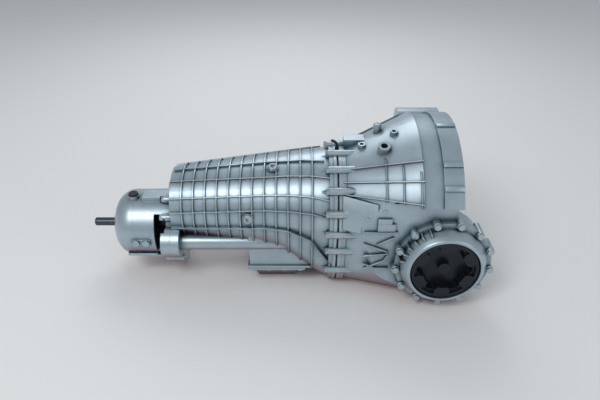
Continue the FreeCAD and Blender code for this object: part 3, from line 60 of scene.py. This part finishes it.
def noise_of(tree, place, scale, detail=4.0, rough=0.55):
    cloud = tree.nodes.new("ShaderNodeTexNoise")
    cloud.inputs["Scale"].default_value = scale
    cloud.inputs["Detail"].default_value = detail
    cloud.inputs["Roughness"].default_value = rough
    tree.links.new(place.outputs["Object"], cloud.inputs["Vector"])
    return cloud


def ramp_of(tree, source, low, high, low_colour, high_colour):
    ramp = tree.nodes.new("ShaderNodeValToRGB")
    ramp.color_ramp.elements[0].position = low
    ramp.color_ramp.elements[1].position = high
    ramp.color_ramp.elements[0].color = (*low_colour, 1)
    ramp.color_ramp.elements[1].color = (*high_colour, 1)
    tree.links.new(source, ramp.inputs["Fac"])
    return ramp


def mix_of(tree, factor, first, second, way="MIX"):
    mix = tree.nodes.new("ShaderNodeMix")
    mix.data_type = "RGBA"
    mix.blend_type = way
    if isinstance(factor, float):
        mix.inputs["Factor"].default_value = factor
    else:
        tree.links.new(factor, mix.inputs["Factor"])
    for socket, source in (("A", first), ("B", second)):
        target = [s for s in mix.inputs if s.name == socket and s.type == "RGBA"][0]
        if isinstance(source, tuple):
            target.default_value = (*source, 1)
        else:
            tree.links.new(source, target)
    return [s for s in mix.outputs if s.type == "RGBA"][0]


def casting(name, bright, shade, reflection_tint, grain, roughness):
    material, tree, shader, place = new_material(name)
    cloud = noise_of(tree, place, 22.0)
    speck = noise_of(tree, place, grain, 3.0, 0.7)
    tone = ramp_of(tree, cloud.outputs["Fac"], 0.32, 0.68, tuple(0.86 * c for c in bright), bright)
    dirt = ramp_of(tree, speck.outputs["Fac"], 0.35, 0.55, tuple(0.8 * c for c in bright), (1, 1, 1))
    colour = mix_of(tree, 0.35, tone.outputs["Color"], dirt.outputs["Color"], "MULTIPLY")
    # Painted shade: ambient occlusion darkens creases, corners and recesses towards a near-black teal.
    hollow = tree.nodes.new("ShaderNodeAmbientOcclusion")
    hollow.inputs["Distance"].default_value = 0.022
    hollow.samples = 6
    corner = ramp_of(tree, hollow.outputs["AO"], 0.35, 0.95, (1, 1, 1), (0, 0, 0))
    colour = mix_of(tree, corner.outputs["Color"], colour, shade)
    # Painted reflection: faces turned downwards are tinted mauve, standing in for light thrown up from the floor.
    facing = tree.nodes.new("ShaderNodeNewGeometry")
    split = tree.nodes.new("ShaderNodeSeparateXYZ")
    tree.links.new(facing.outputs["Normal"], split.inputs["Vector"])
    flip = tree.nodes.new("ShaderNodeMath")
    flip.operation = "MULTIPLY_ADD"
    flip.inputs[1].default_value = 0.5
    flip.inputs[2].default_value = 0.5
    tree.links.new(split.outputs["Z"], flip.inputs[0])
    under = ramp_of(tree, flip.outputs["Value"], 0.16, 0.42, (1, 1, 1), (0, 0, 0))
    colour = mix_of(tree, under.outputs["Color"], colour, reflection_tint)
    tree.links.new(colour, shader.inputs["Base Color"])
    shader.inputs["Metallic"].default_value = 0.75
    gloss = ramp_of(tree, speck.outputs["Fac"], 0.3, 0.7, (roughness - 0.08,) * 3, (roughness + 0.1,) * 3)
    tree.links.new(gloss.outputs["Color"], shader.inputs["Roughness"])
    edge = tree.nodes.new("ShaderNodeBevel")
    edge.samples = 4
    edge.inputs["Radius"].default_value = 0.0016
    bump = tree.nodes.new("ShaderNodeBump")
    bump.inputs["Strength"].default_value = 0.25
    bump.inputs["Distance"].default_value = 0.0006
    tree.links.new(speck.outputs["Fac"], bump.inputs["Height"])
    tree.links.new(edge.outputs["Normal"], bump.inputs["Normal"])
    tree.links.new(bump.outputs["Normal"], shader.inputs["Normal"])
    return material


def give(names, material):
    for name in names:
        node = nodes[name]
        node.data.materials.clear()
        node.data.materials.append(material)


SILVER = (0.50, 0.60, 0.66)
# Near-black teal used as painted shade in creases and corners.
CREVICE_SHADE_COLOUR = (0.02, 0.06, 0.075)
# Mauve used as a painted reflection tint on faces turned downwards.
UNDERSIDE_REFLECTION_TINT = (0.30, 0.15, 0.17)
cast_silver = casting("cast_silver", SILVER, CREVICE_SHADE_COLOUR, UNDERSIDE_REFLECTION_TINT, 900.0, 0.36)
give(("main_case", "bell_housing", "rear_housing", "oil_pan", "differential_cover"), cast_silver)
plate_silver = casting("plate_silver", (0.56, 0.65, 0.70), CREVICE_SHADE_COLOUR, UNDERSIDE_REFLECTION_TINT, 1300.0, 0.3)
give(("intermediate_plate",), plate_silver)

# ------------------------------------------------------------ raised ribs and bands of the castings
# Cast in one with the bell and the case: crossing ribs and a buttress on the bell's flat
# flank, bands across its skirt, a knob, ejector marks, and a crest rib along the case.
FLANK_Y = -0.148
RIB = 0.003
PROUD = 0.005
SUNK = 0.003


def bar(start, end, outward, width, proud, sunk=SUNK):
    """Straight rib from start to end, standing proud of the skin along outward."""
    start, end, outward = Vector(start), Vector(end), Vector(outward).normalized()
    along = (end - start).normalized()
    across = along.cross(outward).normalized()
    upright = across.cross(along)
    middle = (start + end) / 2 + upright * (proud - sunk) / 2
    bpy.ops.mesh.primitive_cube_add(size=1)
    piece = bpy.context.object
    turn = Matrix((along, across, upright)).transposed().to_4x4()
    scale = Matrix.Diagonal(((end - start).length, width, proud + sunk, 1))
    piece.matrix_world = Matrix.Translation(middle) @ turn @ scale
    bpy.ops.object.transform_apply(location=True, rotation=True, scale=True)
    return piece


def joined(pieces, name, material, body="housing", soften=0.0007):
    """One softened object from several solids, riding on a body."""
    bpy.ops.object.select_all(action="DESELECT")
    for piece in pieces:
        piece.select_set(True)
    bpy.context.view_layer.objects.active = pieces[0]
    if len(pieces) > 1:
        bpy.ops.object.join()
    whole = bpy.context.object
    whole.name = name
    rounding = whole.modifiers.new("rounding", "BEVEL")
    rounding.width = soften
    rounding.segments = 2
    rounding.limit_method = "ANGLE"
    bpy.ops.object.modifier_apply(modifier="rounding")
    bpy.ops.object.shade_smooth_by_angle(angle=math.radians(35))
    whole.data.materials.clear()
    whole.data.materials.append(material)
    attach(whole, body)
    bpy.ops.object.select_all(action="DESELECT")
    return whole


FLANK_RIBS = (
    ((-0.190, 0.014), (-0.120, 0.014)),
    ((-0.190, -0.015), (-0.137, -0.037)),
    ((-0.162, -0.018), (-0.127, 0.001)),
    ((-0.190, -0.047), (-0.137, -0.041)),
    ((-0.190, -0.067), (-0.163, -0.080)),
    ((-0.163, -0.080), (-0.134, -0.080)),
    ((-0.137, -0.044), (-0.146, -0.060)),
    ((-0.146, -0.060), (-0.188, -0.081)),
)
LEFT = (0, -1, 0)


def on_flank(station, height):
    """Point on the bell's flat left wall."""
    return (station, FLANK_Y, height)


flank_ribs = [
    bar(on_flank(*start), on_flank(*end), LEFT, RIB, PROUD) for start, end in FLANK_RIBS
]
joined(flank_ribs, "bell_flank_ribs", cast_silver)


def around(station, radius, turn):
    """Point about the crankshaft axis, turned in degrees from +Z towards -Y."""
    angle = math.radians(turn)
    return Vector((station, -radius * math.sin(angle), radius * math.cos(angle)))


SKIRT_RADIUS = 0.203
SKIRT_REAR, SKIRT_FRONT = -0.0395, -0.0005
BAND_WIDTH, BAND_PROUD = 0.011, 0.003
bands = []
for turn in (8, 38, 52):
    rear = around(SKIRT_REAR, SKIRT_RADIUS, turn)
    front = around(SKIRT_FRONT, SKIRT_RADIUS, turn)
    bands.append(bar(rear, front, around(0, 1, turn), BAND_WIDTH, BAND_PROUD))
joined(bands, "bell_skirt_bands", cast_silver)


def on_cone(cone, station, turn):
    """Point on the conical upper half of a casting, given as (station, radius) at both ends."""
    (rear, rear_radius), (front, front_radius) = cone
    share = (station - rear) / (front - rear)
    return around(station, rear_radius + (front_radius - rear_radius) * share, turn)


CASE_CONE = ((-0.612, 0.079), (-0.253, 0.126))
CREST = ((-0.606, 4), (-0.400, 9), (-0.320, 12), (-0.273, 16))
crest_rib = []
for start, end in zip(CREST, CREST[1:]):
    outward = around(0, 1, (start[1] + end[1]) / 2)
    crest_rib.append(bar(on_cone(CASE_CONE, *start), on_cone(CASE_CONE, *end), outward, RIB, PROUD))
joined(crest_rib, "case_crest_rib", cast_silver)


def stud(base, outward, radius, proud, sunk=SUNK):
    """Round boss or pad standing on the skin."""
    base, outward = Vector(base), Vector(outward).normalized()
    bpy.ops.mesh.primitive_cylinder_add(vertices=32, radius=radius, depth=proud + sunk)
    piece = bpy.context.object
    piece.matrix_world = (
        Matrix.Translation(base + outward * (proud - sunk) / 2)
        @ outward.to_track_quat("Z", "Y").to_matrix().to_4x4()
    )
    bpy.ops.object.transform_apply(location=True, rotation=True, scale=True)
    return piece


BELL_CONE = ((-0.235, 0.126), (-0.080, 0.203))
KNOB_STATION, KNOB_TURN = -0.155, -8
KNOB_RADIUS, KNOB_PROUD = 0.009, 0.018
knob_foot = on_cone(BELL_CONE, KNOB_STATION, KNOB_TURN)
knob = stud(knob_foot, around(0, 1, KNOB_TURN), KNOB_RADIUS, KNOB_PROUD)
joined([knob], "bell_knob", cast_silver)

EJECTOR_RADIUS = 0.004
EJECTOR_MARKS = ((-0.185, 0.045, 0.0015), (-0.150, 0.030, 0.0012), (-0.150, 0.064, 0.0012))
ejector_marks = [
    stud(on_flank(station, height), LEFT, EJECTOR_RADIUS, proud)
    for station, height, proud in EJECTOR_MARKS
]
joined(ejector_marks, "bell_ejector_marks", cast_silver, soften=0.0004)

# (rear station, front station, height, width) of the two steps of the buttress
BUTTRESS_STEPS = ((-0.164, -0.126, 0.026, 0.018), (-0.164, -0.134, 0.041, 0.014))
buttress = [
    bar(on_flank(rear, height), on_flank(front, height), LEFT, width, PROUD)
    for rear, front, height, width in BUTTRESS_STEPS
]
joined(buttress, "bell_buttress", cast_silver, soften=0.0015)

# ------------------------------------------------------------ shafts, gears and bearings
# Turned and ground steel parts; most are closed in, and show only through the rear window
# and the bell mouth.


def steel(name, colour, roughness, scale, metallic=1.0):
    material, tree, shader, place = new_material(name)
    streak = noise_of(tree, place, scale, 2.0, 0.5)
    tone = ramp_of(tree, streak.outputs["Fac"], 0.3, 0.7, tuple(0.8 * c for c in colour), colour)
    tree.links.new(tone.outputs["Color"], shader.inputs["Base Color"])
    shader.inputs["Metallic"].default_value = metallic
    gloss = ramp_of(tree, streak.outputs["Fac"], 0.3, 0.7, (roughness,) * 3, (roughness + 0.12,) * 3)
    tree.links.new(gloss.outputs["Color"], shader.inputs["Roughness"])
    edge = tree.nodes.new("ShaderNodeBevel")
    edge.samples = 4
    edge.inputs["Radius"].default_value = 0.0007
    tree.links.new(edge.outputs["Normal"], shader.inputs["Normal"])
    return material


dark_steel = steel("dark_forged_steel", (0.035, 0.042, 0.05), 0.3, 260.0, 0.8)
shaft_steel = steel("oiled_shaft_steel", (0.10, 0.12, 0.14), 0.28, 420.0)
gear_steel = steel("ground_gear_steel", (0.42, 0.45, 0.48), 0.25, 600.0)
zinc_steel = steel("zinc_plated_steel", (0.55, 0.62, 0.66), 0.28, 700.0)
shafts = [n for n in nodes if n.endswith("_shaft") or n in ("right_drive_flange", "clutch_drum")]
gears = [n for n in nodes if n.endswith(("_gear", "_wheel", "_bearing", "_pinion", "_carrier", "_bush", "_bushes"))]
fasteners = [n for n in nodes if n.endswith(("_bolts", "_dowels", "_plugs", "_plug"))]
give(shafts, shaft_steel)
give(gears, gear_steel)
give(fasteners, zinc_steel)
give(("left_drive_flange",), dark_steel)

# ------------------------------------------------------------ seals, gasket and plastic trim
# Black rubber shaft seals, the pan gasket, the push-in plastic cap and the vent horn.


def moulded(name, colour, roughness):
    material, tree, shader, place = new_material(name)
    speck = noise_of(tree, place, 1500.0, 2.0, 0.5)
    tone = ramp_of(tree, speck.outputs["Fac"], 0.3, 0.7, tuple(0.7 * c for c in colour), colour)
    tree.links.new(tone.outputs["Color"], shader.inputs["Base Color"])
    bump = tree.nodes.new("ShaderNodeBump")
    bump.inputs["Strength"].default_value = 0.15
    bump.inputs["Distance"].default_value = 0.0003
    tree.links.new(speck.outputs["Fac"], bump.inputs["Height"])
    tree.links.new(bump.outputs["Normal"], shader.inputs["Normal"])
    shader.inputs["Roughness"].default_value = roughness
    return material


seals = [n for n in nodes if n.endswith("_seal")] + ["pan_gasket"]
give(seals, moulded("black_rubber", (0.02, 0.022, 0.024), 0.6))
give(("rear_cap", "breather"), moulded("black_plastic", (0.016, 0.018, 0.02), 0.38))

# ------------------------------------------------------------ floor, light and camera
# A pale floor under the housing, one large soft lamp from the upper left, a weaker one from
# the right, one from behind, and a view down on the left side.
bpy.ops.mesh.primitive_plane_add(size=14, location=(0, 0, cad_box[0][2]))
floor = bpy.context.object
floor.name = "floor"
floor_paint = bpy.data.materials.new("floor_paint")
floor_paint.use_nodes = True
floor_shader = floor_paint.node_tree.nodes["Principled BSDF"]
floor_shader.inputs["Base Color"].default_value = (0.86, 0.86, 0.85, 1)
floor_shader.inputs["Roughness"].default_value = 0.9
floor.data.materials.append(floor_paint)

world = bpy.data.worlds.new("studio")
bpy.context.scene.world = world
world.use_nodes = True
sky = world.node_tree.nodes["Background"]
sky.inputs["Color"].default_value = (0.86, 0.93, 1.0, 1)
sky.inputs["Strength"].default_value = 0.42


def soft_lamp(name, place, aim, power, size):
    bpy.ops.object.light_add(type="AREA", location=place)
    lamp = bpy.context.object
    lamp.name = name
    lamp.data.energy = power
    lamp.data.size = size
    lamp.rotation_euler = (Vector(aim) - Vector(place)).to_track_quat("-Z", "Y").to_euler()
    return lamp


soft_lamp("key_lamp", (-1.3, -1.5, 1.9), (-0.35, 0, 0), 22, 0.9)
soft_lamp("fill_lamp", (1.6, -1.4, 0.9), (-0.3, 0, 0), 6, 1.2)
soft_lamp("back_lamp", (-0.4, 1.6, 1.6), (-0.35, 0, 0), 13, 1.2)

AIM = Vector((-0.325, 0, 0))
REACH = 1.293
RISE = math.radians(32)
eye = AIM + Vector((0, -math.cos(RISE), math.sin(RISE))) * REACH
bpy.ops.object.camera_add(location=eye)
camera = bpy.context.object
camera.name = "side_view"
camera.rotation_euler = (AIM - eye).to_track_quat("-Z", "Y").to_euler()
camera.data.lens = 33.3
camera.data.sensor_width = 36
bpy.context.scene.camera = camera
bpy.context.scene.view_settings.view_transform = "Standard"
